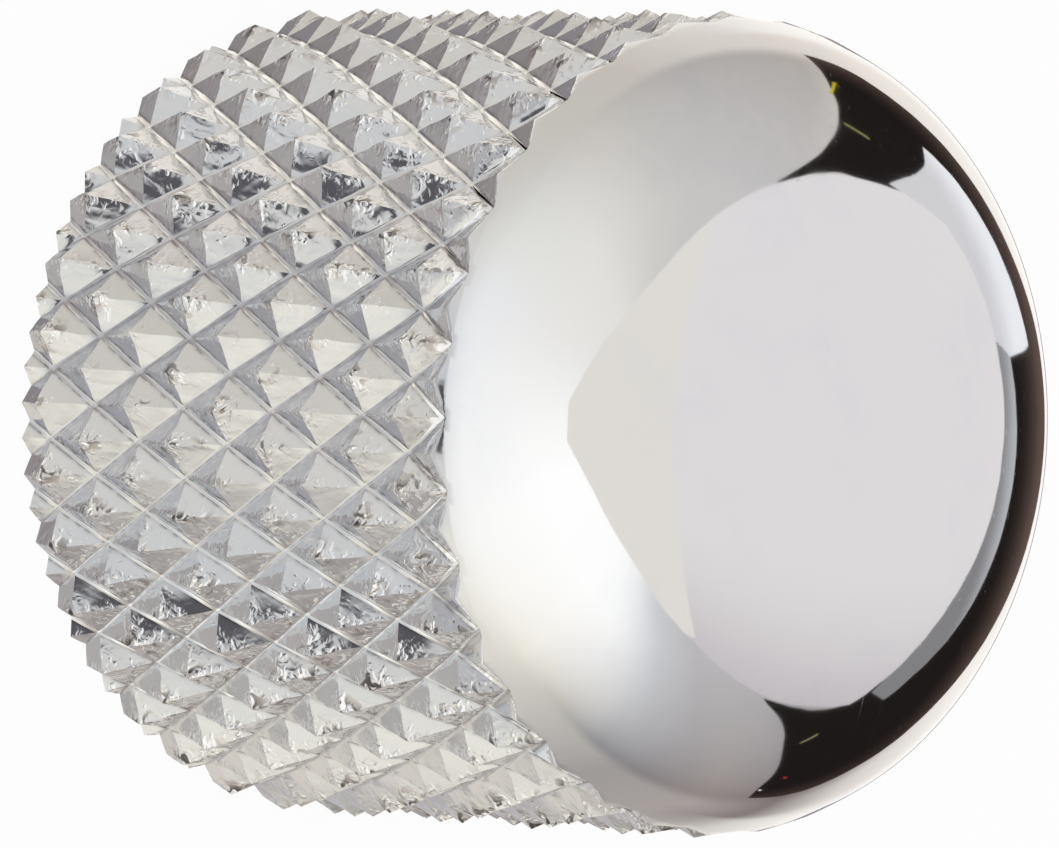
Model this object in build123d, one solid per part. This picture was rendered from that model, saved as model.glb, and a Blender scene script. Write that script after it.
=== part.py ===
"""Dome knob for a guitar's volume or tone control.

A solid brass body, diamond-knurled round its barrel and domed on top, slides over a round
control shaft and is locked by a grub screw. The knob stands on its flat underside: the origin
is the centre of that face, and +Z runs along the shaft's axis to the crown of the dome.
"""
from build123d import *
from math import asin, atan2, cos, degrees, pi, radians, sin, sqrt, tan
import os

# ------------------------------------------------------------ driving sizes, in millimetres
blank_diameter = 18.36      # smooth barrel, and widest part of the dome
barrel_height = 14.10       # underside to where the dome begins
dome_rise = 4.50            # from there to the crown

knurl_raise = 0.320         # points of the diamonds above the smooth barrel
knurl_cut = 0.255           # bottom of the grooves below it
knurl_groove_count = 35     # grooves of each hand, which is diamonds in each ring
diamond_length = 3.02       # one diamond, along the knob's axis
knurl_overrun = 0.25        # how far the knurl runs past the barrel, on to the dome
knurl_clocking = 5.6        # degrees from -Y to the nearest column that ends in a half diamond

shaft_diameter = 6.35       # the control shaft that the knob fits
shaft_clearance = 0.05      # on diameter
crown_thickness = 5.10      # crown of the dome to the end of the full bore
bore_chamfer = 0.30         # lead-in at the mouth of the bore
drill_point_angle = 118.0   # degrees, of the blind end

rim_wall = 1.625            # bottom of the grooves to the hollow for the control's mounting nut
recess_depth = 3.00         # of that hollow

screw_diameter = 3.00       # M3 grub screw
screw_height = 6.60         # underside to the screw's axis
screw_inset = 0.625         # bottom of the grooves to the screw's outer end
screw_clearance = 0.03      # radial, between the screw and its hole
screw_shaft_gap = 0.10      # point of the backed-off screw to the wall of the bore
screw_end_chamfer = 0.30
screw_cup_diameter = 1.50   # hollow in the screw's point
screw_cup_depth = 0.50
hex_key = 1.50              # across the flats
hex_socket_depth = 2.00

# ------------------------------------------------------------ sizes that follow from them
blank_radius = blank_diameter / 2
tip_radius = blank_radius + knurl_raise
root_radius = blank_radius - knurl_cut
bore_radius = (shaft_diameter + shaft_clearance) / 2
bore_depth = barrel_height + dome_rise - crown_thickness
recess_radius = root_radius - rim_wall
screw_point = bore_radius + screw_shaft_gap
screw_length = root_radius - screw_inset - screw_point
knurl_top = barrel_height + knurl_overrun
half_length = diamond_length / 2
columns = 2 * knurl_groove_count
column_step = 2 * pi / columns

# The dome is half an ellipse. This is its radius at the height where the knurl stops.
dome_foot_radius = blank_radius * sqrt(1 - (knurl_overrun / dome_rise) ** 2)
# The last diamonds of every other column end in flats, whose corners stay inside that radius.
flat_distance = dome_foot_radius * cos(column_step / 2)


# ------------------------------------------------------------ the diamond knurl
def outward(column):
    """Unit vector from the axis through the middle of one column of diamonds."""
    angle = radians(knurl_clocking - 90) + column * column_step
    return Vector(cos(angle), sin(angle), 0)


def knurl_point(column, radius, height):
    return outward(column) * radius + Vector(0, 0, height)


def cut_back(polygon, normal, distance):
    """Cuts a flat polygon where normal . p passes distance, and keeps the nearer side."""
    kept = []
    for start, end in zip(polygon, polygon[1:] + polygon[:1]):
        start_over = normal.dot(start) - distance
        end_over = normal.dot(end) - distance
        if start_over <= 0:
            kept.append(start)
        if start_over * end_over < 0:
            kept.append(start + (end - start) * (start_over / (start_over - end_over)))
    return kept


def diamond(column, height):
    """The four flanks of the pyramid with its point at this height, down to the underside."""
    peak = knurl_point(column, tip_radius, height)
    rim = [
        knurl_point(column, root_radius, height - half_length),
        knurl_point(column + 1, root_radius, height),
        knurl_point(column, root_radius, height + half_length),
        knurl_point(column - 1, root_radius, height),
    ]
    flanks = [[peak, rim[side], rim[(side + 1) % 4]] for side in range(4)]
    cut_flanks = [cut_back(flank, Vector(0, 0, -1), 0) for flank in flanks]
    return [flank for flank in cut_flanks if len(flank) > 2]


def half_diamond(column):
    """The last diamond of a column: two flanks that rise only as far as the smooth blank."""
    peak = knurl_point(column, tip_radius, knurl_top)
    foot = knurl_point(column, root_radius, knurl_top - half_length)
    before = knurl_point(column - 1, root_radius, knurl_top)
    after = knurl_point(column + 1, root_radius, knurl_top)
    flanks = [
        cut_back(flank, outward(column), flat_distance)
        for flank in ([foot, peak, before], [foot, after, peak])
    ]
    rise = peak.dot(outward(column)) - flat_distance
    flat = [
        peak + (corner - peak) * (rise / (peak - corner).dot(outward(column)))
        for corner in (foot, after, before)
    ]
    return flanks + [flat]


def outline_at(flanks, height):
    """The corners that lie at one height, in order round the axis."""
    corners = {
        (round(point.X, 6), round(point.Y, 6)): point
        for flank in flanks
        for point in flank
        if abs(point.Z - height) < 1e-6
    }
    return sorted(corners.values(), key=lambda point: atan2(point.Y, point.X))


def knurled_barrel():
    """One solid of flat-sided diamonds, from the underside to the knurl's top."""
    flanks = []
    for column in range(columns):
        peak_height = knurl_top - half_length
        if column % 2 == 0:
            flanks += half_diamond(column)
            peak_height = knurl_top - diamond_length
        while peak_height > -half_length:
            flanks += diamond(column, peak_height)
            peak_height -= diamond_length
    ends = [outline_at(flanks, 0), outline_at(flanks, knurl_top)]
    return Solid(Shell([Face(Wire.make_polygon(corners)) for corners in flanks + ends]))


# ------------------------------------------------------------ the body
def dome():
    foot_angle = degrees(asin(knurl_overrun / dome_rise))
    curve = EllipticalCenterArc(
        (0, barrel_height), blank_radius, dome_rise, foot_angle, arc_size=90 - foot_angle
    )
    section = make_face(curve + Polyline(curve @ 1, (0, knurl_top), curve @ 0))
    return revolve(Plane.XZ * section, Axis.Z)


def hollow():
    """Everything taken out from below: nut recess, chamfered bore and its drilled end."""
    drill_point = bore_radius / tan(radians(drill_point_angle / 2))
    below = -recess_depth
    section = make_face(
        Polyline(
            (0, below),
            (recess_radius, below),
            (recess_radius, recess_depth),
            (bore_radius + bore_chamfer, recess_depth),
            (bore_radius, recess_depth + bore_chamfer),
            (bore_radius, bore_depth),
            (0, bore_depth + drill_point),
            close=True,
        )
    )
    return revolve(Plane.XZ * section, Axis.Z)


def screw_plane(distance):
    """Across the screw's axis at a distance from the knob's axis, facing out along +Y."""
    return Plane((0, distance, screw_height), x_dir=(1, 0, 0), z_dir=(0, 1, 0))


def screw_hole():
    radius = screw_diameter / 2 + screw_clearance
    one_way = (Align.CENTER, Align.CENTER, Align.MIN)
    return screw_plane(0) * Cylinder(radius, 2 * tip_radius, align=one_way)


def knob_body():
    return knurled_barrel() + dome() - hollow() - screw_hole()


# ------------------------------------------------------------ the grub screw
def set_screw():
    """Cup-point screw with a hexagon socket, backed off just clear of the shaft."""
    radius = screw_diameter / 2
    section = make_face(
        Polyline(
            (0, screw_cup_depth),
            (screw_cup_diameter / 2, 0),
            (radius - screw_end_chamfer, 0),
            (radius, screw_end_chamfer),
            (radius, screw_length - screw_end_chamfer),
            (radius - screw_end_chamfer, screw_length),
            (0, screw_length),
            close=True,
        )
    )
    blank = revolve(Plane.XZ * section, Axis.Z)
    key_section = RegularPolygon(hex_key / 2, 6, major_radius=False)
    socket = Pos(0, 0, screw_length) * extrude(key_section, -hex_socket_depth)
    return screw_plane(screw_point) * (blank - socket)


# ------------------------------------------------------------ files
os.makedirs("parts", exist_ok=True)
for name, shape in (("knob_body", knob_body()), ("set_screw", set_screw())):
    export_step(shape, f"parts/{name}.step")
    box = shape.bounding_box()
    print(f"{name}: {len(shape.solids())} solid, {shape.volume:.1f} mm3, {box.min} to {box.max}")
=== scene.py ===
# %% [markdown]
# # A chrome dome knob for a guitar
# The knob is one piece of brass, turned on a lathe, rolled with a diamond knurl and then plated
# with chrome. A small black grub screw locks it to the control's shaft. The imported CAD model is
# the fixed frame: it says how big the knob is and where it stands. Everything below is built
# in millimetres and brought to metres at the end of each piece.

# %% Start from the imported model
import random
from math import atan2, cos, pi, radians, sin, tan

import bmesh
import bpy
from mathutils import Matrix, Quaternion, Vector


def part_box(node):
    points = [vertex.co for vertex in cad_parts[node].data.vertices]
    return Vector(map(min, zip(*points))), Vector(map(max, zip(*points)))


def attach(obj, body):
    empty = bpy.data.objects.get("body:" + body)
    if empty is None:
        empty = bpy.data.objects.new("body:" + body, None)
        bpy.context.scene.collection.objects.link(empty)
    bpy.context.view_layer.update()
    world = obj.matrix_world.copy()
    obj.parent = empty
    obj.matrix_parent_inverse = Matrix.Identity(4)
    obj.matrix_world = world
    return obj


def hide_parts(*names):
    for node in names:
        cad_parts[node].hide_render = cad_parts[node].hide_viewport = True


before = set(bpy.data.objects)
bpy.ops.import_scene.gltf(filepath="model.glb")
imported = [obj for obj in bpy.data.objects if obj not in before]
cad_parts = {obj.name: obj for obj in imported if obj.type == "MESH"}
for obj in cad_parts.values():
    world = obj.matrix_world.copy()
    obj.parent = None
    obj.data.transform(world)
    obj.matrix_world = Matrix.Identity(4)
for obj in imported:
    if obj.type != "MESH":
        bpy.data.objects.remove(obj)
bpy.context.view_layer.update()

MM = 0.001
knob_low, knob_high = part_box("knob_body")

# %% [markdown]
# ## The camera
# The knob stands on its underside, but it is looked at as if it lay on its side: from 46 degrees
# above, with the camera turned a little more than a quarter turn. A long lens from a third of a
# metre away keeps the far side almost as large as the near side, as in catalogue pictures of
# small parts.

# %% Camera
elevation, roll = radians(46.38), radians(92.12)
back = Vector((0, -cos(elevation), sin(elevation)))
look_at = Vector((0.134, 0, 7.37)) * MM
camera_distance = 0.3232  # metres
camera_data = bpy.data.cameras.new("camera")
camera_data.sensor_width, camera_data.lens = 36.0, 474.3
camera_data.clip_start, camera_data.clip_end = 0.01, 50.0
camera = bpy.data.objects.new("camera", camera_data)
bpy.context.scene.collection.objects.link(camera)
camera.location = look_at + back * camera_distance
camera.rotation_mode = "QUATERNION"
camera.rotation_quaternion = back.to_track_quat("Z", "Y") @ Quaternion((0, 0, 1), roll)
bpy.context.scene.camera = camera
bpy.context.scene.view_settings.view_transform = "Standard"
print("camera at", [round(v, 4) for v in camera.location])

# %% [markdown]
# ## The room that the chrome shows
# Chrome has hardly a colour of its own: what you see is the studio round it. So the studio is
# painted first, as a world whose brightness depends on direction. It is bright overhead and in
# front, greyer at the two sides, and bright again low down where the white table throws light
# back. Seven colour ramps go round the horizon, from overhead to underfoot, and height mixes
# them. A ready-made surround image could do it too, but ramps are small and easy to change.

# %% Tones of the studio
PLATING = 0.80  # how much light the chrome gives back


def seen(*colour):
    """Brightness that something needs so that the chrome shows it in this 0 to 255 colour."""
    return [((c / 255 + 0.055) / 1.055) ** 2.4 / PLATING for c in colour]


def feed(tree, socket, value):
    """Links another node's output to a socket, or sets the socket's own number or colour."""
    if isinstance(value, bpy.types.NodeSocket):
        tree.links.new(value, socket)
    elif socket.type == "RGBA":
        socket.default_value = (*value[:3], 1.0)
    else:
        socket.default_value = value


def add(tree, kind, **settings):
    """A node of this kind; a name with in_ before it feeds an input, others are properties."""
    node = tree.nodes.new(kind)
    for name, value in settings.items():
        if name.startswith("in_"):
            key = name[3:]
            feed(tree, node.inputs[int(key) if key.isdigit() else key.replace("_", " ")], value)
        else:
            setattr(node, name, value)
    return node


def maths(tree, operation, first, second=0.5):
    """A Math node; each input is a number or another node's output."""
    return add(tree, "ShaderNodeMath", operation=operation, in_0=first, in_1=second).outputs[0]


def spread(tree, value, low, high, to_low=0.0, to_high=1.0, smooth=True):
    """Maps low..high of a value to to_low..to_high, held at both ends."""
    how = "SMOOTHSTEP" if smooth else "LINEAR"
    return add(
        tree, "ShaderNodeMapRange", interpolation_type=how, in_Value=value, in_From_Min=low,
        in_From_Max=high, in_To_Min=to_low, in_To_Max=to_high).outputs["Result"]


def blend_colours(tree, amount, first, second):
    """A Mix node for colours; amount, first and second are values or outputs."""
    node = add(tree, "ShaderNodeMix", data_type="RGBA", in_0=amount, in_6=first, in_7=second)
    return node.outputs[2]


def ramp(tree, factor, stops):
    """A colour ramp through (place, colour) stops."""
    node = add(tree, "ShaderNodeValToRGB", in_Fac=factor)
    elements = node.color_ramp.elements
    elements[0].position, elements[1].position = stops[0][0], stops[-1][0]
    elements[0].color, elements[1].color = (*stops[0][1], 1), (*stops[-1][1], 1)
    for place, colour in stops[1:-1]:
        elements.new(place).color = (*colour, 1)
    return node.outputs["Color"]


# Directions round the horizon are in degrees: 0 is the camera's side (-Y), 90 is +X.
HIGH = {0: (246, 246, 244), 20: (254, 254, 253), 62: (253, 253, 252), 76: (250, 250, 249),
        85: (238, 238, 238), 98: (202, 203, 206), 112: (184, 182, 184), 225: (196, 194, 193),
        255: (199, 197, 195), 272: (206, 204, 200), 300: (224, 223, 219), 330: (230, 229, 226),
        360: (246, 246, 244)}
LEVEL = {0: (243, 243, 243), 30: (248, 248, 246), 45: (246, 244, 238), 60: (235, 231, 219),
         75: (193, 189, 182), 90: (145, 145, 147), 105: (135, 130, 131), 120: (146, 137, 133),
         130: (134, 126, 125), 137: (106, 99, 98), 146: (140, 134, 131), 156: (212, 206, 202),
         180: (238, 231, 224), 214: (228, 220, 212), 226: (176, 170, 164), 255: (177, 173, 171),
         270: (186, 183, 179), 285: (200, 195, 189), 300: (209, 208, 204), 315: (221, 222, 217),
         330: (230, 231, 233), 360: (243, 243, 243)}
BELOW = {0: (186, 187, 188), 20: (213, 213, 210), 40: (229, 227, 218), 60: (216, 213, 204),
         80: (189, 186, 181), 100: (158, 154, 152), 120: (166, 159, 156), 128: (150, 143, 141),
         136: (126, 119, 117), 150: (212, 206, 202), 165: (236, 232, 227), 180: (243, 240, 236),
         210: (228, 222, 214), 225: (216, 209, 202), 240: (212, 207, 199), 260: (194, 188, 181),
         280: (195, 192, 185), 300: (201, 198, 193), 320: (206, 205, 202), 345: (198, 200, 202),
         360: (186, 187, 188)}
LOW = {0: (171, 171, 174), 20: (191, 192, 193), 40: (223, 221, 214), 60: (203, 199, 189),
       80: (168, 163, 161), 100: (150, 147, 146), 112: (158, 152, 149), 122: (168, 162, 159),
       140: (205, 201, 195), 165: (240, 237, 234), 195: (244, 240, 236), 220: (232, 228, 223),
       240: (224, 219, 212), 260: (215, 210, 203), 280: (200, 198, 193), 320: (205, 204, 200),
       340: (167, 168, 172), 360: (171, 171, 174)}
SINK = {0: (190, 187, 188), 40: (191, 194, 198), 55: (225, 226, 228), 65: (249, 250, 250),
        80: (235, 233, 230), 100: (205, 202, 198), 120: (198, 195, 191), 140: (174, 169, 166),
        160: (171, 166, 163), 190: (198, 193, 188), 205: (196, 189, 183), 220: (190, 185, 181),
        232: (246, 244, 240), 250: (240, 238, 233), 285: (232, 226, 218), 300: (200, 194, 190),
        315: (166, 163, 164), 340: (165, 165, 169), 360: (190, 187, 188)}
DEEP = {0: (200, 197, 195), 40: (198, 203, 205), 60: (201, 202, 203), 80: (184, 182, 177),
        100: (201, 198, 188), 120: (206, 200, 193), 140: (168, 165, 168), 160: (184, 184, 185),
        198: (184, 180, 178), 210: (132, 128, 131), 230: (128, 125, 129), 243: (136, 131, 131),
        260: (132, 127, 126), 280: (158, 152, 153), 320: (150, 148, 150), 340: (188, 186, 186),
        360: (200, 197, 195)}
FOOT = {0: (166, 162, 161), 60: (172, 171, 169), 80: (162, 159, 159), 100: (195, 192, 186),
        130: (185, 182, 178), 180: (160, 156, 155), 230: (142, 137, 136), 280: (138, 133, 134),
        300: (150, 147, 147), 340: (164, 162, 161), 360: (166, 162, 161)}
# Each ring takes over from the one before between two angles, measured down from overhead.
RINGS = [(LEVEL, 40, 92), (BELOW, 92, 103), (LOW, 113, 122), (SINK, 128, 135), (DEEP, 139, 146),
         (FOOT, 159, 164)]

# %% World
world = bpy.data.worlds.new("studio")
bpy.context.scene.world = world
world.use_nodes = True
sky = world.node_tree
sky.nodes.clear()
direction = add(sky, "ShaderNodeTexCoord").outputs["Generated"]
axes = add(sky, "ShaderNodeSeparateXYZ", in_0=direction).outputs
azimuth = maths(sky, "ARCTAN2", axes["X"], maths(sky, "MULTIPLY", axes["Y"], -1.0))
around = maths(sky, "FRACT", maths(sky, "DIVIDE", azimuth, 2 * pi))
down = maths(sky, "DIVIDE", maths(sky, "ARCCOSINE", axes["Z"]), pi / 180)


def ring_colour(stops):
    return ramp(sky, around, [(place / 360, seen(*colour)) for place, colour in stops.items()])


colour = ring_colour(HIGH)
for ring, begins, full in RINGS:
    share = spread(sky, down, begins, full, smooth=begins > 90)
    colour = blend_colours(sky, share, colour, ring_colour(ring))
# The shade between the table and the room in front: degrees off the front, then its height.
off_front = maths(sky, "ABSOLUTE", maths(sky, "ADD", maths(sky, "DIVIDE", azimuth, pi / 180), 0.5))
gap_height = maths(sky, "MULTIPLY", spread(sky, down, 101.5, 103.5), spread(sky, down, 119, 109))
gap = maths(sky, "MULTIPLY", spread(sky, off_front, 12, 3), gap_height)
colour = blend_colours(sky, gap, colour, seen(84, 83, 88))
studio_light = add(sky, "ShaderNodeBackground", in_Color=colour)
white_paper = add(sky, "ShaderNodeBackground", in_Color=(1, 1, 1), in_Strength=1.0)
to_camera = add(sky, "ShaderNodeLightPath").outputs["Is Camera Ray"]
either = add(sky, "ShaderNodeMixShader", in_0=to_camera, in_1=studio_light.outputs[0],
             in_2=white_paper.outputs[0])
add(sky, "ShaderNodeOutputWorld", in_Surface=either.outputs[0])
print("world with", len(sky.nodes), "nodes")

# %% [markdown]
# ## Paper, flags and the camera's own dark front
# The dome also shows a few things with sharp edges: a big sheet of pale paper overhead, black
# cloth behind it, a white card, and small bright things in between. They are flat cards
# three to nine metres away, which only mirror-like surfaces can see. Each outline is a filled
# flat curve: its points are steps sideways and up from the card's middle, as a fraction of its
# distance. Curves keep the edges soft where the real paper sags; a sharp corner is a point with
# straight handles.

# %% Card helper
dome_middle = Vector((0, 0, 16 * MM))


def glow_material(name, colour, fade):
    """Something that only shines; fade is (from, to, colour, axis), or None."""
    material = bpy.data.materials.new(name)
    material.use_nodes = True
    tree = material.node_tree
    tree.nodes.clear()
    if fade:
        begins, full, end_colour, axis = fade
        place = add(tree, "ShaderNodeTexCoord").outputs["Object"]
        along = add(tree, "ShaderNodeSeparateXYZ", in_0=place).outputs[axis]
        amount = spread(tree, along, begins, full)
        colour = blend_colours(tree, amount, colour, seen(*end_colour))
    shine = add(tree, "ShaderNodeEmission", in_Color=colour, in_Strength=1.0)
    add(tree, "ShaderNodeOutputMaterial", in_Surface=shine.outputs[0])
    material.cycles.emission_sampling = "NONE"
    return material


def card(name, angle_up, outline, colour, distance, fade=None):
    """A flat card at the far side (+Y). A point with a third value has a sharp corner."""
    middle = Vector((0, cos(radians(angle_up)), sin(radians(angle_up))))
    right = middle.cross((0, 0, 1)).normalized()
    up = right.cross(middle)
    data = bpy.data.curves.new(name, "CURVE")
    data.dimensions, data.fill_mode, data.resolution_u = "2D", "BOTH", 12
    line = data.splines.new("BEZIER")
    line.bezier_points.add(len(outline) - 1)
    line.use_cyclic_u = True
    for point, step in zip(line.bezier_points, outline):
        point.co = (step[0], step[1], 0)
        kind = "VECTOR" if len(step) > 2 else "AUTO"
        point.handle_left_type = point.handle_right_type = kind
    piece = bpy.data.objects.new(name, data)
    bpy.context.scene.collection.objects.link(piece)
    piece.matrix_world = Matrix.Translation(dome_middle + middle * distance) @ Matrix(
        (right * distance, up * distance, -middle * distance)
    ).transposed().to_4x4()
    data.materials.append(glow_material(name, seen(*colour), fade))
    for ray in ("camera", "diffuse", "transmission", "volume_scatter", "shadow"):
        setattr(piece, "visible_" + ray, False)


# %% The cards
S = 1  # marks a sharp corner
card("black_cloth", 10, [
    (-0.95, 1.0, S), (-0.82, 0.6), (-0.80, 0.40), (-0.82, 0.2), (-0.90, 0.0), (-0.97, -0.25),
    (-1.02, -0.42, S), (-0.80, -0.40), (-0.55, -0.36), (-0.40, -0.40), (-0.2, -0.52),
    (-0.05, -0.72), (0.0, -0.74), (0.08, -0.68), (0.2, -0.52), (0.35, -0.38), (0.50, -0.32),
    (0.62, -0.30), (0.95, -0.33), (1.27, -0.30, S), (1.22, -0.10), (1.10, 0.10), (1.0, 0.35),
    (0.96, 0.50), (1.0, 0.8, S), (0.62, 0.30), (0.5, 0.25), (0.0, 0.2), (-0.5, 0.35)],
    (29, 25, 24), distance=9.0, fade=(-0.12, -0.62, (92, 76, 70), "Y"))
card("pale_paper", 64.7, [
    (0, -1.45), (0.20, -1.38), (0.45, -1.10), (0.77, -0.80, S), (0.80, -0.30), (0.74, 0.0),
    (0.68, 0.20), (0.50, 0.60), (0.25, 1.10), (0.13, 1.37, S), (-0.10, 1.37, S), (-0.30, 1.0),
    (-0.50, 0.50), (-0.62, 0.20), (-0.68, -0.20), (-0.62, -0.75), (-0.52, -1.15, S),
    (-0.25, -1.38)], (220, 217, 218), distance=3.0, fade=(0.25, 0.85, (192, 187, 190), "X"))
card("cream_paper", 64.7, [
    (0.67, 0.16, S), (0.68, 0.20), (0.50, 0.60), (0.25, 1.10), (0.13, 1.37, S), (-0.10, 1.37, S),
    (-0.30, 1.0), (-0.50, 0.50), (-0.61, 0.20), (-0.62, 0.15, S), (-0.3, 0.32), (0, 0.38),
    (0.35, 0.31)], (221, 218, 213), distance=2.9)
card("white_card", 10, [
    (-0.52, 0.30, S), (-0.47, 0.0), (-0.49, -0.13, S), (-0.10, -0.36, S), (-0.10, -0.10, S),
    (-0.14, 0.05, S), (-0.35, 0.16, S)], (206, 205, 208), distance=8.6,
    fade=(0.02, -0.20, (232, 233, 236), "Y"))
card("grey_band", 10, [
    (-0.14, 0.06, S), (-0.10, -0.10, S), (0.0, -0.125), (0.10, -0.12), (0.25, -0.06),
    (0.40, 0.05), (0.52, 0.12, S), (0.54, 0.23, S), (0.3, 0.16), (0.0, 0.06)],
    (128, 127, 129), distance=8.5, fade=(0.02, -0.13, (176, 178, 182), "Y"))
# Painted shadow: a grey disc low behind the knob stands for the knob's shadow on the table, as the
# chrome mirrors it.
card("mirrored_table_shadow", -46.4, [
    (0.2, 0), (0.14, 0.14), (0, 0.2), (-0.14, 0.14), (-0.2, 0), (-0.14, -0.14), (0, -0.2),
    (0.14, -0.14)], (132, 130, 134), distance=3.0)
ACCENTS = [  # small bright things, each a colour and four sharp corners
    ("yellow_strip", (190, 176, 40), (-0.905, 0.06), (-0.885, 0.06), (-0.865, -0.10),
     (-0.885, -0.10)),
    ("lamp_left", (150, 144, 96), (-0.78, 0.24), (-0.66, 0.205), (-0.66, 0.195), (-0.78, 0.228)),
    ("lamp_right", (150, 144, 110), (0.80, 0.265), (0.90, 0.285), (0.90, 0.293), (0.80, 0.275)),
    ("white_label", (225, 222, 220), (1.19, -0.14), (1.215, -0.13), (1.21, -0.165), (1.188, -0.16)),
    ("red_label", (150, 52, 46), (1.01, -0.01), (1.035, 0.0), (1.03, -0.035), (1.008, -0.03))]
for name, tint, *corners in ACCENTS:
    card(name, 10, [(*corner, S) for corner in corners], tint, distance=8.4)

# %% [markdown]
# ## The floor
# The knob stands on white paper. The paper is so evenly lit in a catalogue picture that it
# looks like nothing at all, so most of what the camera sees of it is its own plain white, and
# the rest is ordinary matt paper that takes the knob's soft shadow. Seen from below it is
# clear, so that the underside can be looked at too. The chrome doesn't mirror it, because the
# painted studio already has its lower half.

# %% Floor
floor_mesh = bmesh.new()
bmesh.ops.create_circle(floor_mesh, cap_ends=True, segments=96, radius=6.0)
floor_data = bpy.data.meshes.new("floor")
floor_mesh.to_mesh(floor_data)
floor_mesh.free()
floor = bpy.data.objects.new("floor", floor_data)
bpy.context.scene.collection.objects.link(floor)
floor.visible_glossy = False
paper = bpy.data.materials.new("floor_paper")
paper.use_nodes = True
tree = paper.node_tree
tree.nodes.clear()
matt = add(tree, "ShaderNodeBsdfDiffuse", in_Color=(0.93, 0.93, 0.93)).outputs[0]
plain = add(tree, "ShaderNodeEmission", in_Color=(1, 1, 1), in_Strength=1.0).outputs[0]
to_camera = add(tree, "ShaderNodeLightPath").outputs["Is Camera Ray"]
share = maths(tree, "MULTIPLY", to_camera, 0.94)
even = add(tree, "ShaderNodeMixShader", in_0=share, in_1=matt, in_2=plain).outputs[0]
from_below = add(tree, "ShaderNodeNewGeometry").outputs["Backfacing"]
clear = add(tree, "ShaderNodeBsdfTransparent").outputs[0]
sheet = add(tree, "ShaderNodeMixShader", in_0=from_below, in_1=even, in_2=clear)
add(tree, "ShaderNodeOutputMaterial", in_Surface=sheet.outputs[0])
floor_data.materials.append(paper)

# %% [markdown]
# ## Sizes of the knob
# These are the CAD part's own sizes, in millimetres. The knurl has 35 grooves running each way,
# so 35 diamonds stand in each ring and every second ring is turned by half a diamond: that makes
# 70 columns, which are numbered from the one nearest the camera.

# %% Sizes
blank_radius, root_radius, tip_radius = 9.18, 8.925, 9.50
barrel_height, dome_rise, knurl_top = 14.10, 4.50, 14.35
diamond_length = 3.02
half_length = diamond_length / 2
grooves = 35
column_step = pi / grooves
first_column = radians(5.6 - 90)
bore_radius, bore_depth, recess_radius, recess_depth = 3.20, 13.50, 7.30, 3.00
lead_in, drill_point = 0.30, radians(59)  # chamfer of the bore, and half its drill's angle
screw_height, screw_radius, hole_gap = 6.60, 1.50, 0.03
frame_height = round((knob_high.z - knob_low.z) / MM, 3)
print("height from the frame:", frame_height, "and from the sizes:", barrel_height + dome_rise)


def on_knurl(column, radius, height):
    """A point at a column, a distance from the axis and a height."""
    angle = first_column + column * column_step
    return Vector((radius * cos(angle), radius * sin(angle), height))


# %% [markdown]
# ## One thirty-fifth of the knob
# A knurling wheel presses two sets of slanting V grooves into the barrel, and the metal between
# them rises into four-sided points. The pattern repeats every two columns, so one strip of two
# columns is made with care and turned round the axis 35 times. Each diamond starts as four
# corners at the bottom of the grooves, filled with one face and poked up in the middle.

# %% Diamonds of two columns
# The kinds of face, which the mesh keeps as "facet": first the skin and dome, then the four
# slopes of a diamond, the bottom of a groove, and the two slopes beside a tongue of the skin.
(SKIN, UP_LEFT, UP_RIGHT, LOW_LEFT, LOW_RIGHT, GROOVE, SLOPE_BEFORE, SLOPE_AFTER, HOLLOW,
 UNDERSIDE, LIP, SCREW_HOLE, NARROW) = range(13)
DIAMOND, SLOPES = {UP_LEFT, UP_RIGHT, LOW_LEFT, LOW_RIGHT}, {SLOPE_BEFORE, SLOPE_AFTER}
knob = bmesh.new()
facet = knob.faces.layers.float.new("facet")


def diamond(column, height):
    """Four sloping faces round one point."""
    corners = [
        knob.verts.new(on_knurl(column + across, root_radius, height + along))
        for across, along in ((0, -half_length), (1, 0), (0, half_length), (-1, 0))
    ]
    flat = bmesh.ops.contextual_create(knob, geom=corners)["faces"]
    for edge in flat[0].edges:
        edge.seam = True  # seams mark the grooves from here on
    poked = bmesh.ops.poke(knob, faces=flat)
    for face in poked["faces"]:
        middle = sum((v.co for v in face.verts if v in corners), Vector()) / 2
        turned = middle.to_2d().angle_signed(on_knurl(column, 1, 0).to_2d())
        face[facet] = (UP_LEFT if middle.z > height else LOW_LEFT) + (1 if turned > 0 else 0)
    for vert in poked["verts"]:
        vert.co = on_knurl(column, tip_radius, height)
    for edge in poked["verts"][0].link_edges:
        edge.smooth = False


for ring in range(5):
    diamond(0, knurl_top - diamond_length * (ring + 1))
    diamond(1, knurl_top - diamond_length * (ring + 0.5))
print("one strip has", len(knob.faces), "sloping faces")

# %% [markdown]
# The smooth skin above the knurl is the blank's own surface: the end of the barrel, then half
# an ellipse up to the crown. Its side view is spun through the same two columns. Where the last
# grooves run into it, it is cut along the two slopes of the groove, and the cut edge is
# extruded down to the bottom of the groove. That leaves the row of pointed tongues that the
# real knob has there.

# %% Skin and dome of the strip
DOME_STEPS, DOME_RINGS = 10, 62  # faces of the dome, round the strip and up to the crown
CLOSE = 1e-4  # corners nearer than this, in millimetres, are the same corner
lean = radians(23)  # where the dome's slope is this steep, the knurl begins to lift the skin
bend = 0.0424  # how fast the lifted skin grows more upright, per millimetre
start = atan2(tan(lean) * dome_rise / blank_radius, 1)
foot_radius, foot_height = blank_radius * cos(start), barrel_height + dome_rise * sin(start)


def skin_radius(height):
    """Distance of the lifted skin from the axis; it leans less and less towards the knurl."""
    drop = foot_height - height
    return foot_radius + drop * (tan(lean) - bend * drop)


def lay_on_skin(vert, under=0.0):
    """Moves a corner sideways on to the lifted skin, or a little under it."""
    vert.co.xy = vert.co.xy.normalized() * (skin_radius(vert.co.z) - under)


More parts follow.
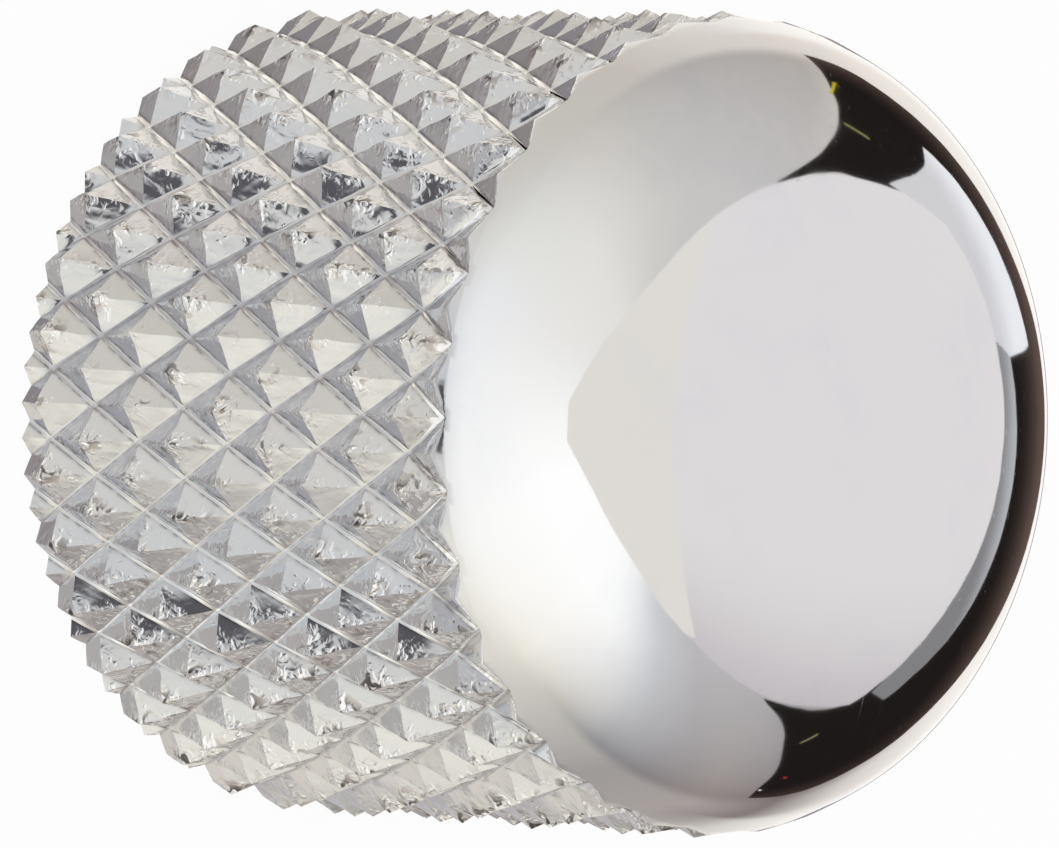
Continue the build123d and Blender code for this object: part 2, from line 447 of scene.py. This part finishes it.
def spin_line(mesh, points, angle, steps, climb=0.0, use_merge=False):
    """Joins the points in a row and spins that side view round the axis."""
    verts = [mesh.verts.new(point) for point in points]
    edges = [mesh.edges.new(pair) for pair in zip(verts, verts[1:])]
    bmesh.ops.spin(
        mesh, geom=verts + edges, cent=(0, 0, 0), axis=(0, 0, 1), dvec=(0, 0, climb / steps),
        angle=angle, steps=steps, use_merge=use_merge, use_duplicate=False)


profile = [(skin_radius(z), z) for z in (13.60, knurl_top, 14.50, 14.68, 14.85)]
profile += [
    (blank_radius * cos(t), barrel_height + dome_rise * sin(t))
    for t in [start + (pi / 2 - start) * k / DOME_RINGS for k in range(DOME_RINGS + 1)]
]
print("skin leaves the dome at", round(foot_radius, 3), round(foot_height, 3))
spin_line(knob, [on_knurl(-1, *point) for point in profile], 2 * column_step, DOME_STEPS)
for face in (f for f in knob.faces if f[facet] == SKIN):
    face.smooth = True

groove_foot = on_knurl(0, root_radius, knurl_top - half_length)
groove_ends = {side: on_knurl(side, skin_radius(knurl_top), knurl_top) for side in (-1, 1)}
for vert in knob.verts:  # the last diamonds' far corners rise to the skin
    for side, end in groove_ends.items():
        if (vert.co - on_knurl(side, root_radius, knurl_top)).length < 1e-3:
            vert.co = end
ridge = (on_knurl(0, tip_radius, knurl_top) - groove_foot).normalized()
slopes = {}
for side, end in groove_ends.items():
    normal = (end - groove_foot).cross(ridge).normalized()
    slopes[side] = normal if normal.dot(on_knurl(0, 1, 0)) > 0 else -normal


def skin_below_top():
    """Faces of the skin that the groove may cut."""
    return [f for f in knob.faces if f[facet] == SKIN and f.calc_center_median().z < knurl_top]


def past_slope(point, normal):
    """How far a point lies beyond one slope of the groove."""
    return (point - groove_foot).dot(normal)


def kinds_of(element):
    """The kinds of face that meet at an edge or a corner."""
    return {round(f[facet]) for f in element.link_faces}


for normal in slopes.values():
    geom = list({g for f in skin_below_top() for g in (f, *f.edges, *f.verts)})
    bmesh.ops.bisect_plane(knob, geom=geom, dist=1e-5, plane_co=groove_foot, plane_no=normal)
    outside = [f for f in skin_below_top() if past_slope(f.calc_center_median(), normal) > 1e-5]
    bmesh.ops.delete(knob, geom=outside, context="FACES")
for side, end in groove_ends.items():
    cut = [
        e for e in knob.edges
        if len(e.link_faces) == 1 and kinds_of(e) == {SKIN}
        and all(v.co.z < knurl_top + CLOSE for v in e.verts)
        and all(abs(past_slope(v.co, slopes[side])) < CLOSE for v in e.verts)
    ]
    top = min(v.co.z for e in cut for v in e.verts)
    slope = bmesh.ops.extrude_edge_only(knob, edges=cut)["geom"]
    for vert in (g for g in slope if isinstance(g, bmesh.types.BMVert)):
        share = (vert.co.z - top) / (knurl_top - top)
        vert.co = groove_foot if share < 0.5 else end
    for face in (g for g in slope if isinstance(g, bmesh.types.BMFace)):
        face[facet] = SLOPE_BEFORE if side < 0 else SLOPE_AFTER
bmesh.ops.remove_doubles(knob, verts=knob.verts[:], dist=CLOSE)
for kind in sorted(SLOPES):
    pieces = [f for f in knob.faces if f[facet] == kind]
    bmesh.ops.dissolve_faces(knob, faces=pieces, use_verts=False)
for edge in knob.edges:
    if SLOPES & kinds_of(edge):
        edge.smooth = False
        tips = (groove_foot, *groove_ends.values())
        edge.seam = all(min((v.co - p).length for p in tips) < 1e-3 for v in edge.verts)
print("with its skin:", len(knob.faces), "faces; tongues start at", round(top, 2))

# %% [markdown]
# ## All the way round
# The strip is copied 34 times round the axis and the seams are welded. Then every groove is
# bevelled, because the bottom of a real groove is not a knife line. The two knurling wheels are
# never equally worn: the one that presses the climbing grooves leaves a flat bottom, which is
# given a paler colour as a painted sheen, and the other still cuts sharp. So the bottoms of its
# grooves are pushed back down to the V.

# %% Full turn
bmesh.ops.spin(
    knob, geom=knob.verts[:] + knob.edges[:] + knob.faces[:], cent=(0, 0, 0), axis=(0, 0, 1),
    dvec=(0, 0, 0), angle=2 * pi * (grooves - 1) / grooves, steps=grooves - 1, use_duplicate=True)
bmesh.ops.remove_doubles(knob, verts=knob.verts[:], dist=CLOSE)
bmesh.ops.recalc_face_normals(knob, faces=knob.faces[:])
LIP_WIDTH, GROOVE_WIDTH = 0.11, 0.08  # of the bevel on each side of an edge


def round_off(edges, width, segments, kind):
    """Bevels edges and marks the new faces with a kind."""
    made = bmesh.ops.bevel(
        knob, geom=edges, offset=width, offset_type="OFFSET", affect="EDGES", segments=segments,
        profile=0.5, material=-1, clamp_overlap=True)["faces"]
    for face in made:
        face[facet] = kind
        face.smooth = True
    return len(made)


tongues = [e for e in knob.edges if SKIN in kinds_of(e) and kinds_of(e) & SLOPES]
print("tongues:", round_off(tongues, LIP_WIDTH, 4, LIP))
seams = [e for e in knob.edges if e.seam and len(e.link_faces) == 2]
print("grooves:", round_off(seams, GROOVE_WIDTH, 2, GROOVE))
for vert in knob.verts:  # the bevel lifts the ends of the grooves off the skin: lay them back
    if vert.co.z < foot_height - 1e-3 and SKIN in kinds_of(vert) and not kinds_of(vert) & SLOPES:
        lay_on_skin(vert)
ends = [on_knurl(column, skin_radius(knurl_top), knurl_top) for column in range(1, 2 * grooves, 2)]


def at_end(vert):
    """True for a corner beside the upper end of a groove."""
    return min((vert.co - end).length for end in ends) < 0.25


tiny = [e for e in knob.edges
        if e.calc_length() < 0.08 and all(14.0 < v.co.z < 14.7 and at_end(v) for v in e.verts)]
before = len(knob.verts)
bmesh.ops.collapse(knob, edges=tiny, uvs=False)
for vert in filter(at_end, knob.verts):
    if SKIN in kinds_of(vert):
        lay_on_skin(vert)
    elif vert.co.z > knurl_top:
        vert.co.z = knurl_top - 0.02
        lay_on_skin(vert, under=0.004)
print("round:", len(knob.faces), "faces,", before - len(knob.verts), "corners merged at the ends")

# %% Two kinds of groove
nick = knob.verts.layers.float.new("nick")  # 1 along the bottom of the narrow grooves


def climbs(edge):
    """True for a groove that climbs as it goes round."""
    low, high = sorted((v.co for v in edge.verts), key=lambda co: co.z)
    return low.to_2d().angle_signed(high.to_2d()) < 0


narrow = [e for e in knob.edges
          if e.calc_length() > 0.8 and kinds_of(e) == {GROOVE} and not climbs(e)]
for vert in {v for e in narrow for v in e.verts}:
    vert.co.xy = vert.co.xy.normalized() * (root_radius - 0.004)
    vert[nick] = 1.0
for face in {f for e in narrow for f in e.link_faces}:
    face[facet] = NARROW
print("narrow grooves:", len(narrow), "pieces")

# %% [markdown]
# A cut knurl is never perfect: the crests are a little ragged and no two faces lean quite the
# same. Each sloping face is divided into nine, then the ridges are pushed about by a few
# hundredths of a millimetre with seeded chance, so that every run gives the same knob. A crest
# is only ever pushed inwards, so the knob keeps its size.

# %% Ragged crests
sloping = {e for f in knob.faces if f[facet] in DIAMOND for e in f.edges}
bmesh.ops.subdivide_edges(knob, edges=list(sloping), cuts=2, use_grid_fill=True)
for edge in knob.edges:
    kinds = kinds_of(edge)
    if kinds in ({LIP}, {LIP, SKIN}):
        edge.smooth = True
    elif NARROW in kinds:
        edge.smooth = not all(v[nick] > 0.5 for v in edge.verts)
    elif LIP in kinds or (GROOVE in kinds and kinds != {GROOVE}):
        edge.smooth = False
for face in knob.faces:
    face.smooth = True
chance = random.Random(35)
crest = knob.verts.layers.float.new("crest")  # 1 along the ridges
RIDGES = {(UP_LEFT, UP_RIGHT): 0.95, (UP_RIGHT, LOW_RIGHT): 0.70,  # how crumbly each ridge is
          (UP_LEFT, LOW_LEFT): 0.45, (LOW_LEFT, LOW_RIGHT): 0.40}
lip = knob.verts.layers.float.new("lip")  # 1 along both sides of a wide groove
for vert in knob.verts:
    kinds = kinds_of(vert)
    if GROOVE in kinds and kinds & {UP_LEFT, LOW_RIGHT, *SLOPES}:
        vert[lip] = 1.0
    met = kinds & DIAMOND
    if not met:
        continue
    high_up = (vert.co.to_2d().length - root_radius) / (tip_radius - root_radius)
    vert[crest] = max(0.0, high_up - 0.30) * chance.uniform(0.6, 2.0)  # gathers round the points
    if kinds & {GROOVE, NARROW}:
        continue
    out = Vector((vert.co.x, vert.co.y, 0)).normalized()
    side = Vector((0, 0, 1)).cross(out)
    if len([e for e in vert.link_edges if not e.smooth]) >= 2:  # on a ridge
        if len(met) > 2:
            ragged_here = chance.uniform(0.8, 1.0)
        else:
            ragged_here = RIDGES.get(tuple(sorted(met)), 0.5) * chance.random() ** 1.5
        vert[crest] = max(vert[crest], ragged_here)
        size = 0.045 if high_up > 0.95 else 0.028
        vert.co += side * chance.uniform(-size, size) + Vector((0, 0, chance.uniform(-size, size)))
        vert.co -= out * chance.uniform(0.008, size * 1.2)
    else:
        size = 0.008 if UP_LEFT in kinds else 0.016
        vert.co += out * chance.uniform(-size, size * 0.5)
knurl = [f for f in knob.faces if f[facet] in {*DIAMOND, GROOVE, NARROW}]
print("knurl:", len(knurl), "faces")

# %% [markdown]
# ## Underside and bore
# The knurled shell is cut off flat at the bottom, like the bar it was turned from. The hollow
# inside is one side view, spun: a wide recess for the control's nut, then the bore for the
# shaft with a small lead-in, ending in the cone that a twist drill leaves.

# %% Underside and bore
def open_edges(mesh):
    """Edges with a face on one side only."""
    return [e for e in mesh.edges if len(e.link_faces) == 1]


def is_closed(mesh):
    """True where every edge has a face on both sides."""
    return all(len(e.link_faces) == 2 for e in mesh.edges)


bmesh.ops.bisect_plane(
    knob, geom=knob.verts[:] + knob.edges[:] + knob.faces[:], dist=CLOSE, plane_co=(0, 0, 0),
    plane_no=(0, 0, 1), clear_inner=True)
for vert in {v for e in open_edges(knob) for v in e.verts}:
    vert.co.z = 0
drill_end = bore_depth + bore_radius / tan(drill_point)
hollow_view = [
    (recess_radius, 0, 0), (recess_radius, 0, recess_depth),
    (bore_radius + lead_in, 0, recess_depth), (bore_radius, 0, recess_depth + lead_in),
    (bore_radius, 0, bore_depth), (0, 0, drill_end)]
outer = set(knob.faces)
spin_line(knob, hollow_view, 2 * pi, 120, use_merge=True)
hollow = [f for f in knob.faces if f not in outer]
for face in hollow:
    face[facet] = HOLLOW
    face.smooth = True
for edge in {e for f in hollow for e in f.edges}:
    if len(edge.link_faces) == 2 and edge.calc_face_angle(0) > radians(20):
        edge.smooth = False
bmesh.ops.remove_doubles(knob, verts=knob.verts[:], dist=CLOSE)
rims = open_edges(knob)
for edge in rims:
    edge.smooth = False
under = bmesh.ops.triangle_fill(
    knob, use_beauty=True, use_dissolve=False, edges=rims, normal=(0, 0, -1))
for face in (g for g in under["geom"] if isinstance(g, bmesh.types.BMFace)):
    face[facet] = UNDERSIDE
    face.smooth = False
bmesh.ops.recalc_face_normals(knob, faces=knob.faces[:])
print("closed:", is_closed(knob), "volume mm3:", round(knob.calc_volume(), 1))


# %% Knob object
def finished(mesh, name):
    """Turns a bmesh in millimetres into an object in metres."""
    bmesh.ops.scale(mesh, vec=(MM, MM, MM), verts=mesh.verts[:])
    data = bpy.data.meshes.new(name)
    mesh.to_mesh(data)
    mesh.free()
    piece = bpy.data.objects.new(name, data)
    bpy.context.scene.collection.objects.link(piece)
    return piece


def carve(piece, tool, operation="DIFFERENCE"):
    """Cuts a piece with a tool, keeps the result as its mesh and throws the tool away."""
    cut = piece.modifiers.new("carve", "BOOLEAN")
    cut.object, cut.operation, cut.solver = tool, operation, "EXACT"
    graph = bpy.context.evaluated_depsgraph_get()
    result = bpy.data.meshes.new_from_object(
        piece.evaluated_get(graph), preserve_all_data_layers=True, depsgraph=graph)
    piece.modifiers.clear()
    piece.data = result
    result.name = piece.name
    bpy.data.objects.remove(tool)
    print(piece.name, "now has", len(result.polygons), "faces")


knob_piece = finished(knob, "dome_knob")

# %% [markdown]
# ## The screw's hole
# The grub screw comes in from the side, half way up the knurl, on the side away from the camera.
# A drill makes a plain round hole through the diamonds, so a cylinder is taken out of the knob.

# %% Screw hole
def bar(mesh, segments, radius, low, high):
    """A straight bar with flat ends, from one height to another on the axis."""
    made = bmesh.ops.create_cone(
        mesh, cap_ends=True, segments=segments, radius1=radius, radius2=radius, depth=high - low)
    bmesh.ops.translate(mesh, vec=(0, 0, (low + high) / 2), verts=made["verts"])


def lay_over(mesh, place):
    """Turns a mesh from the upright to the +Y direction, then moves it to its place."""
    turn = Matrix.Rotation(-pi / 2, 3, "X")
    bmesh.ops.rotate(mesh, cent=(0, 0, 0), matrix=turn, verts=mesh.verts[:])
    bmesh.ops.translate(mesh, vec=place, verts=mesh.verts[:])


drill = bmesh.new()
hole_layer = drill.faces.layers.float.new("facet")
bar(drill, 64, screw_radius + hole_gap, 2.8, 10.0)  # from inside the bore to past the knurl
lay_over(drill, (0, 0, screw_height))
for face in drill.faces:
    face[hole_layer] = SCREW_HOLE
    face.smooth = True
carve(knob_piece, finished(drill, "drill"))

# %% [markdown]
# ## Marks that chrome and steel share
# Two effects are kept as node groups, because both metals of this knob use them. "handling"
# gives the cloudy haze and hairline scratches of something that has been in a drawer with other
# parts. "ragged_metal" gives the crumbs that a knurling wheel or a thread die leaves where it
# squeezes metal up into a crest, as a height and as a mask of the low hollows between them,
# which the chrome darkens as painted shade.

# %% Shared effects
def effect(name, inputs, outputs):
    """An empty node group; an input without a number is a position."""
    group = bpy.data.node_groups.new(name, "ShaderNodeTree")
    for label, number in inputs.items():
        kind = "NodeSocketVector" if number is None else "NodeSocketFloat"
        socket = group.interface.new_socket(label, in_out="INPUT", socket_type=kind)
        if number is not None:
            socket.default_value = number
    for label in outputs:
        group.interface.new_socket(label, in_out="OUTPUT", socket_type="NodeSocketFloat")
    return group, add(group, "NodeGroupInput").outputs, add(group, "NodeGroupOutput").inputs


def clouds(tree, position, scale, detail=2.0, roughness=0.5, distortion=0.0):
    """Soft noise from 0 to 1 round 0.5, with so many swells to the millimetre."""
    return add(
        tree, "ShaderNodeTexNoise", in_Vector=position, in_Scale=scale, in_Detail=detail,
        in_Roughness=roughness, in_Distortion=distortion).outputs["Fac"]


def stretched(tree, position, scale, turn=(0, 0, 0)):
    """The position turned and then squeezed along its axes, for marks that run one way."""
    return add(
        tree, "ShaderNodeMapping", vector_type="TEXTURE", in_Vector=position,
        in_Scale=[1 / s for s in scale], in_Rotation=turn).outputs["Vector"]


def product(tree, *values):
    """All the values multiplied together."""
    result = values[0]
    for value in values[1:]:
        result = maths(tree, "MULTIPLY", result, value)
    return result


def total(tree, *values):
    """All the values added up."""
    result = values[0]
    for value in values[1:]:
        result = maths(tree, "ADD", result, value)
    return result


handling, given, wanted = effect("handling", {"Position": None}, ["Haze", "Scratches"])
position = given["Position"]
haze = spread(handling, clouds(handling, position, 0.22, 3.0, 0.55), 0.44, 0.64)
dabs = spread(handling, clouds(handling, position, 1.3, 3.0, 0.6, 0.4), 0.36, 0.62, 0.35, 1.0)
feed(handling, wanted["Haze"], product(handling, haze, dabs))
hairlines = []
for scale, turn in (((9, 0.25, 9), (0.3, 0.2, 0.7)), ((0.3, 11, 8), (0.1, 0.5, 0.2))):
    streaks = clouds(handling, stretched(handling, position, scale, turn), 1.0, 1.0)
    hairlines.append(spread(handling, streaks, 0.735, 0.78))
feed(handling, wanted["Scratches"], maths(handling, "MAXIMUM", *hairlines))

ragged, given, wanted = effect(
    "ragged_metal", {"Position": None, "Amount": 1.0}, ["Height", "PitShade"])
position = given["Position"]
crumbs = clouds(ragged, position, 3.0, 1.5, 0.5, 1.0)
wobble = add(ragged, "ShaderNodeTexNoise", in_Vector=position, in_Scale=3.5, in_Detail=1.0)
nudged = add(
    ragged, "ShaderNodeVectorMath", operation="MULTIPLY_ADD", in_0=wobble.outputs["Color"],
    in_1=(0.55, 0.55, 0.55), in_2=position).outputs["Vector"]
beads = add(ragged, "ShaderNodeTexVoronoi", feature="F1", in_Vector=nudged, in_Scale=3.8)
rounded = spread(ragged, beads.outputs["Distance"], 0.0, 0.45, 1.0, 0.0)
patchy = spread(ragged, clouds(ragged, position, 0.6, 0.0), 0.36, 0.54, 0.35, 1.0)
height = total(
    ragged, product(ragged, maths(ragged, "SUBTRACT", crumbs, 0.5), 0.11),
    product(ragged, rounded, 0.065))
feed(ragged, wanted["Height"], product(ragged, height, patchy, given["Amount"]))
# Painted shade: the low spots between the crumbs, as a mask for darkening them.
pit_shade = product(ragged, spread(ragged, crumbs, 0.47, 0.37), patchy, given["Amount"])
feed(ragged, wanted["PitShade"], pit_shade)
print("shared effects:", [g.name for g in bpy.data.node_groups])

# %% [markdown]
# ## Chrome
# One plating covers the whole knob, but it looks different from place to place. The dome was
# polished first, so it has only a faint swell and a trace of haze. The knurl was not polished:
# its crests are crumbly and its facets ripple. Its colour also holds painted light: a paler
# colour in the bottom of each wide groove is a painted sheen, the thin dark line along both
# sides and the darker narrow grooves are painted shade, the tops of the crumbs get a painted
# cream highlight, and the hollows between them get painted brown and black shade. Inside and
# underneath, the turning marks show.
# The mesh carries what the shader has to know: "facet" says what kind of face it is, "crest" is
# 1 along the ridges, "lip" is 1 along both sides of a wide groove, and "nick" is 1 along the
# sharp bottom of a narrow one. Bump height is in millimetres.

# %% Helpers for materials
def new_material(name, colour, metallic, roughness):
    """A material with a Principled BSDF; what stays the same all over is set on its sockets."""
    material = bpy.data.materials.new(name)
    material.use_nodes = True
    tree = material.node_tree
    shader = tree.nodes["Principled BSDF"]
    shader.inputs["Base Color"].default_value = (*colour, 1)
    shader.inputs["Metallic"].default_value = metallic
    shader.inputs["Roughness"].default_value = roughness
    place = add(tree, "ShaderNodeTexCoord").outputs["Object"]
    in_mm = add(tree, "ShaderNodeVectorMath", operation="SCALE", in_0=place, in_Scale=1 / MM)
    return material, tree, shader, in_mm.outputs["Vector"]


def mesh_value(tree, name):
    """A number that the mesh carries."""
    return add(tree, "ShaderNodeAttribute", attribute_name=name).outputs["Fac"]


def is_kind(tree, value, *kinds):
    """1 where the value is one of these kinds."""
    return total(tree, *(
        add(tree, "ShaderNodeMath", operation="COMPARE", in_0=value, in_1=kind, in_2=0.4).outputs[0]
        for kind in kinds))


def use(tree, group, position, **inputs):
    """Places a node group and feeds its inputs."""
    node = add(tree, "ShaderNodeGroup", node_tree=group, in_Position=position)
    for name, value in inputs.items():
        feed(tree, node.inputs[name], value)
    return node.outputs


def dress(tree, shader, height, colour, gloss):
    """Gives a shader its colour, its roughness and a bump from a height in millimetres."""
    bump = add(tree, "ShaderNodeBump", in_Strength=1.0, in_Distance=MM, in_Height=height)
    for name, value in (("Normal", bump.outputs[0]), ("Base Color", colour), ("Roughness", gloss)):
        feed(tree, shader.inputs[name], value)


# %% Polished dome
BRIGHT, DULLED = (0.80, 0.80, 0.805), (0.745, 0.755, 0.78)
polished, tree, shader, position = new_material("chrome_polished", BRIGHT, 1.0, 0.045)
marks = use(tree, handling, position)
swell = product(tree, maths(tree, "SUBTRACT", clouds(tree, position, 0.45), 0.5), 0.007)
colour = blend_colours(tree, product(tree, marks["Haze"], 0.6), BRIGHT, DULLED)
gloss = total(
    tree, 0.04, product(tree, marks["Haze"], 0.02), product(tree, marks["Scratches"], 0.10))
dress(tree, shader, swell, colour, gloss)

# %% Knurl: unrolled position
knurled, tree, shader, position = new_material("chrome_knurled", BRIGHT, 1.0, 0.07)
axes = add(tree, "ShaderNodeSeparateXYZ", in_0=position).outputs
turned_by = maths(tree, "ARCTAN2", axes["X"], product(tree, axes["Y"], -1.0))
unrolled = add(
    tree, "ShaderNodeCombineXYZ", in_X=product(tree, turned_by, 9.2), in_Y=axes["Z"]).outputs[0]
worn_side = spread(tree, turned_by, 0.1, 0.8)  # this side of the knob met the wheel harder

# %% Knurl: where the crumbs are
kind, crest_line, lip_line, nick_line = (
    mesh_value(tree, name) for name in ("facet", "crest", "lip", "nick"))
rough_edge = is_kind(tree, kind, SLOPE_BEFORE, SLOPE_AFTER, LIP)
up_right = is_kind(tree, kind, UP_RIGHT)
near_crest = product(
    tree, maths(tree, "POWER", crest_line, 1.1), total(tree, product(tree, up_right, -0.35), 1.0))
everywhere = total(
    tree, product(tree, rough_edge, 0.10), product(tree, up_right, worn_side, 0.45),
    product(tree, up_right, 0.05), 0.02)
amount = maths(tree, "MAXIMUM", near_crest, everywhere)
crumble = use(tree, ragged, position, Amount=amount)

# %% Knurl: relief
WIDE_GROOVE_TURN = (0, 0, radians(-28.6))  # how far off the knob's axis the wide grooves run
ripple = product(tree, clouds(tree, position, 0.9, 0.0), 0.022)
foil = clouds(tree, stretched(tree, unrolled, (1.7, 0.65, 1)), 1.0, 1.6, 0.45, 1.0)
along_groove = clouds(
    tree, stretched(tree, unrolled, (5.5, 0.7, 1), WIDE_GROOVE_TURN), 1.0, 1.0, 0.5, 0.3)
blotches = clouds(tree, position, 4.0, 0.5)
blotched = total(
    tree, product(tree, is_kind(tree, kind, LOW_LEFT, LOW_RIGHT), 0.006),
    product(tree, rough_edge, 0.006))
height = total(
    tree, ripple, crumble["Height"],
    product(tree, foil, total(tree, product(tree, up_right, 0.042), 0.006)),
    product(tree, along_groove, is_kind(tree, kind, UP_LEFT), 0.0045),
    product(tree, blotches, blotched))

# %% Knurl: colour and gloss
uneven = spread(tree, blotches, 0.40, 0.60, 0.35, 1.0)
# Painted shade: a thin dark line along both sides of each wide groove.
lip_shade = product(tree, maths(tree, "POWER", lip_line, 7.0), uneven)
# Painted shade: the bottoms of the narrow grooves are darkened.
nick_shade = product(tree, maths(tree, "POWER", nick_line, 2.0), uneven)
# Painted sheen: the bottoms of the wide grooves get a paler colour.
colour = blend_colours(tree, is_kind(tree, kind, GROOVE), BRIGHT, (0.86, 0.85, 0.83))
for mask, strength, tint in (
        # painted shade along the wide grooves
        (lip_shade, 0.85, (0.20, 0.195, 0.205)),  # the dark lines along the wide grooves
        # painted shade in the narrow grooves
        (nick_shade, 0.55, (0.22, 0.215, 0.235)),  # and in the narrow ones
        # Painted highlight: the tops of the crumbs get a pale cream colour.
        (spread(tree, crumble["Height"], 0.006, 0.024), 0.8, (1.0, 0.96, 0.89)),  # crumbs' tops
        # Painted shade: brown round the hollows between the crumbs, black in them.
        (spread(tree, crumble["PitShade"], 0.0, 0.35), 0.55, (0.52, 0.45, 0.40)),  # brown round
        (spread(tree, crumble["PitShade"], 0.15, 0.8), 0.9, (0.07, 0.062, 0.058))):  # the black pits
    colour = blend_colours(tree, product(tree, mask, strength), colour, tint)
dress(tree, shader, height, colour, total(tree, 0.06, product(tree, amount, 0.05)))

# %% Inside and underneath
FEED, PITCH = 0.16, 0.5  # millimetres from one turning mark, or one turn of a thread, to the next
CUT, DULL_CUT = (0.66, 0.655, 0.65), (0.50, 0.485, 0.46)
turned, tree, shader, position = new_material("chrome_turned", CUT, 1.0, 0.25)
axes = add(tree, "ShaderNodeSeparateXYZ", in_0=position).outputs
squares = total(tree, product(tree, axes["X"], axes["X"]), product(tree, axes["Y"], axes["Y"]))
lathe_path = total(tree, maths(tree, "SQRT", squares), axes["Z"])
turning_marks = maths(tree, "SINE", product(tree, lathe_path, 2 * pi / FEED))
in_hole = is_kind(tree, mesh_value(tree, "facet"), SCREW_HOLE)
thread = maths(tree, "SINE", product(tree, axes["Y"], 2 * pi / PITCH))
wander = clouds(tree, position, 1.5, 2.0)
marks = use(tree, handling, position)
height = total(
    tree, product(tree, turning_marks, wander, 0.004), product(tree, thread, in_hole, 0.07),
    product(tree, wander, 0.01))
colour = blend_colours(tree, product(tree, marks["Haze"], 0.7), CUT, DULL_CUT)
gloss = total(tree, 0.22, product(tree, wander, 0.12), product(tree, marks["Scratches"], 0.1))
dress(tree, shader, height, colour, gloss)

# %% Chrome on the knob
knob_data = knob_piece.data
knob_data.materials.clear()
for material in (polished, knurled, turned):
    knob_data.materials.append(material)
which = {SKIN: 0, HOLLOW: 2, UNDERSIDE: 2, SCREW_HOLE: 2}  # all the rest is knurl
for polygon, kind in zip(knob_data.polygons, knob_data.attributes["facet"].data):
    polygon.material_index = which.get(round(kind.value), 1)
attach(knob_piece, "root")
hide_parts("knob_body")
print("chrome nodes:", [len(m.node_tree.nodes) for m in knob_data.materials])

# %% [markdown]
# ## The grub screw
# An M3 grub screw with a hexagon socket and a cupped point holds the knob on its shaft. The CAD
# part has it as a plain rod, so here it gets its thread. The thread's side view, ten and more
# teeth long, goes once round the axis while it climbs one pitch: every tooth then meets the next,
# and merging the seam makes one endless helix. Cutting it with the screw's plain outline gives
# the chamfered ends and the cup, and a six-sided bar cuts the socket for the key.

# %% Thread
screw_point, screw_length, end_chamfer = 3.30, 5.0, 0.3
cup_radius, cup_depth, key_size = 0.75, 0.5, 1.5
thread_root, thread_crest = screw_radius - 0.30, screw_radius - 0.006
tooth = [(thread_root, 0.0), (thread_root, 0.12), (thread_crest, 0.28), (thread_crest, 0.34)]
teeth = [(radius, 0, PITCH * number + climb) for number in range(-2, 12) for radius, climb in tooth]
thread_mesh = bmesh.new()
spin_line(thread_mesh, teeth, 2 * pi, 48, climb=PITCH)
bmesh.ops.remove_doubles(thread_mesh, verts=thread_mesh.verts[:], dist=CLOSE)
for height, side in ((-0.2, -1), (screw_length + 0.2, 1)):
    bmesh.ops.bisect_plane(
        thread_mesh, geom=thread_mesh.verts[:] + thread_mesh.edges[:] + thread_mesh.faces[:],
        plane_co=(0, 0, height), plane_no=(0, 0, side), clear_outer=True)
bmesh.ops.holes_fill(thread_mesh, edges=open_edges(thread_mesh), sides=0)
bmesh.ops.recalc_face_normals(thread_mesh, faces=thread_mesh.faces[:])
print("thread:", len(thread_mesh.faces), "faces, closed:", is_closed(thread_mesh))
screw_piece = finished(thread_mesh, "grub_screw")

# %% Outline and socket
end_radius = screw_radius - end_chamfer
side_view = [
    (0, 0, cup_depth), (cup_radius, 0, 0), (end_radius, 0, 0), (screw_radius, 0, end_chamfer),
    (screw_radius, 0, screw_length - end_chamfer), (end_radius, 0, screw_length),
    (0, 0, screw_length)]
outline = bmesh.new()
spin_line(outline, side_view, 2 * pi, 96, use_merge=True)
bmesh.ops.remove_doubles(outline, verts=outline.verts[:], dist=CLOSE)
bmesh.ops.recalc_face_normals(outline, faces=outline.faces[:])
carve(screw_piece, finished(outline, "outline"), "INTERSECT")
key = bmesh.new()
bar(key, 6, key_size / 2 / cos(pi / 6), screw_length - 2, screw_length + 2)
carve(screw_piece, finished(key, "key"))

# %% Place and worn edges
SHARP = radians(28)  # edges that turn more than this stay sharp
screw_mesh = bmesh.new()
screw_mesh.from_mesh(screw_piece.data)
lay_over(screw_mesh, Vector((0, screw_point, screw_height)) * MM)
bmesh.ops.remove_doubles(screw_mesh, verts=screw_mesh.verts[:], dist=CLOSE * MM)
worn = screw_mesh.verts.layers.float.new("worn")
for edge in screw_mesh.edges:
    turns_by = edge.calc_face_angle_signed(0)
    edge.smooth = abs(turns_by) < SHARP
    if turns_by > SHARP:
        for vert in edge.verts:
            vert[worn] = 1.0
for face in screw_mesh.faces:
    face.smooth = True
screw_volume = round(screw_mesh.calc_volume() / MM ** 3, 2)
print("screw closed:", is_closed(screw_mesh), "volume mm3:", screw_volume)
screw_mesh.to_mesh(screw_piece.data)
screw_mesh.free()

# %% [markdown]
# ## Blackened steel
# Grub screws are hardened and blackened in oil, which leaves a dark, slightly blotchy surface
# with a soft gloss. On the crests of the thread and the rim of the socket, the black rubs off
# and the steel shows.

# %% Steel
BLACK = (0.16, 0.16, 0.17)
steel, tree, shader, position = new_material("black_steel", BLACK, 1.0, 0.38)
marks = use(tree, handling, position)
worn_edge = mesh_value(tree, "worn")
rub = product(tree, spread(tree, worn_edge, 0.55, 1.0),
              spread(tree, clouds(tree, position, 3.0, 2.0), 0.42, 0.62))
grit = maths(tree, "MAXIMUM", product(tree, worn_edge, 0.12), 0.03)
fine = use(tree, ragged, position, Amount=grit)
colour = blend_colours(tree, product(tree, marks["Haze"], 0.6), BLACK, (0.105, 0.10, 0.10))
colour = blend_colours(tree, product(tree, rub, 0.7), colour, (0.46, 0.455, 0.45))
gloss = total(tree, 0.36, product(tree, marks["Haze"], 0.10), product(tree, rub, -0.12))
dress(tree, shader, fine["Height"], colour, gloss)
screw_piece.data.materials.clear()
screw_piece.data.materials.append(steel)
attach(screw_piece, "root")
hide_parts("set_screw")
print("screw:", len(screw_piece.data.polygons), "faces")
